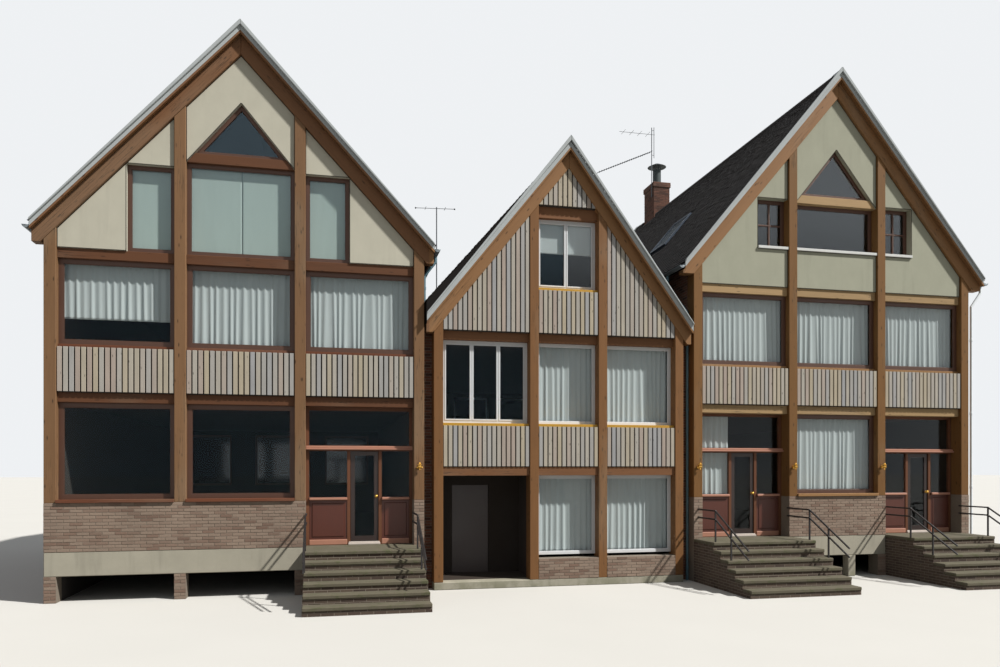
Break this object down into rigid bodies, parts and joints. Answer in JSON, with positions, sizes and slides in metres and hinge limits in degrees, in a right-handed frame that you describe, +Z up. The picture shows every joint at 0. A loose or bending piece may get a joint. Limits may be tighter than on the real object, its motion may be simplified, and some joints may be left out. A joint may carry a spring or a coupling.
{
  "type": "terraced house row",
  "caption": "Row of gabled terraced houses with exposed timber posts, rendered and board-clad fronts, tiled roofs, entrance steps and hinged entrance doors.",
  "frame": {"origin": "on the ground, in the middle of the row, in the plane of the post fronts", "axes": "+X along the row to the right seen from the street, +Y from the street into the houses, +Z up"},
  "size_m": [21.306, 14.557, 14.98],
  "materials": {
    "aerial_metal": "weathered aluminium tube",
    "chimney_brick": "dark red brick",
    "cladding_board": "silvered vertical boards",
    "concrete": "weathered concrete",
    "curtain": "gathered net curtain",
    "door_timber": "dark stained door",
    "entrance_timber": "red-brown stained timber",
    "floor_board": "floor boards",
    "flue_metal": "dulled flue metal",
    "glass": "window glass",
    "gutter_metal": "dull zinc",
    "lamp_brass": "polished brass",
    "left_beam_timber": "dark brown stained timber",
    "middle_beam_timber": "brown stained timber",
    "middle_post_timber": "brown stained post",
    "panel_paint": "dark red-brown painted panel",
    "pipe_paint": "pale painted pipe",
    "plinth_brick": "pinkish buff brick, long and low, with raked joints",
    "porch_board": "dark boarding",
    "post_timber": "honey brown stained post",
    "rafter_timber": "brown stained sawn timber with knots",
    "rail_paint": "black painted bar",
    "render": "cream wood-floated render",
    "right_beam_timber": "pale brown stained timber",
    "roof_tile": "dark brown plain tiles",
    "sill_timber": "brown stained sill",
    "skylight_sheet": "grey sheet",
    "stair_brick": "dark brick",
    "step_stone": "mossy stone slab",
    "trim_sheet": "pale grey sheet trim",
    "wall_brick": "dark brick",
    "white_frame": "white painted frame",
    "white_sill": "white painted sill",
    "window_timber": "red-brown stained window timber",
    "yellow_sill": "yellow painted sill"
  },
  "bodies": {
    "root": {"aerials": "aerial_metal", "brick_plinths": "plinth_brick", "chimney_flue": "flue_metal", "chimney_stack": "chimney_brick", "concrete_bands": "concrete", "concrete_pillar": "concrete", "downpipes": "pipe_paint", "entrance_frames": "entrance_timber", "entrance_glass": "glass", "entrance_panels": "panel_paint", "floors": "floor_board", "gable_rafters": "rafter_timber", "gable_render": "render", "gap_walls": "wall_brick", "gutters": "gutter_metal", "handrails": "rail_paint", "lamps": "lamp_brass", "left_beams": "left_beam_timber", "left_cladding": "cladding_board", "left_curtains": "curtain", "left_posts": "post_timber", "left_roof": "roof_tile", "left_window_frames": "window_timber", "left_window_glass": "glass", "middle_beams": "middle_beam_timber", "middle_cladding": "cladding_board", "middle_curtains": "curtain", "middle_door": "door_timber", "middle_porch": "porch_board", "middle_posts": "middle_post_timber", "middle_roof": "roof_tile", "middle_window_frames": "white_frame", "middle_window_glass": "glass", "rear_walls": "wall_brick", "right_beams": "right_beam_timber", "right_cladding": "cladding_board", "right_curtains": "curtain", "right_posts": "post_timber", "right_roof": "roof_tile", "right_window_frames": "window_timber", "right_window_glass": "glass", "roof_trims": "trim_sheet", "side_walls": "wall_brick", "skylight_frame": "skylight_sheet", "stair_bases": "stair_brick", "steps": "step_stone", "white_sills": "white_sill", "window_sills": "sill_timber", "yellow_sills": "yellow_sill"},
    "left_door_leaf": {"left_door": "door_timber", "left_door_glass": "glass"},
    "right_a_door_leaf": {"right_a_door": "door_timber", "right_a_door_glass": "glass"},
    "right_b_door_leaf": {"right_b_door": "door_timber", "right_b_door_glass": "glass"}
  },
  "joints": [
    {"name": "left_door_swing", "type": "hinge", "parent": "root", "child": "left_door_leaf", "pos_m": [-4.597, 0.408, 1.93], "axis": [0, 0, 1], "range_deg": [0, 90]},
    {"name": "right_a_door_swing", "type": "hinge", "parent": "root", "child": "right_a_door_leaf", "pos_m": [4.073, 0.408, 1.93], "axis": [0, 0, 1], "range_deg": [0, 90]},
    {"name": "right_b_door_swing", "type": "hinge", "parent": "root", "child": "right_b_door_leaf", "pos_m": [8.812, 0.408, 1.93], "axis": [0, 0, 1], "range_deg": [0, 90]}
  ]
}
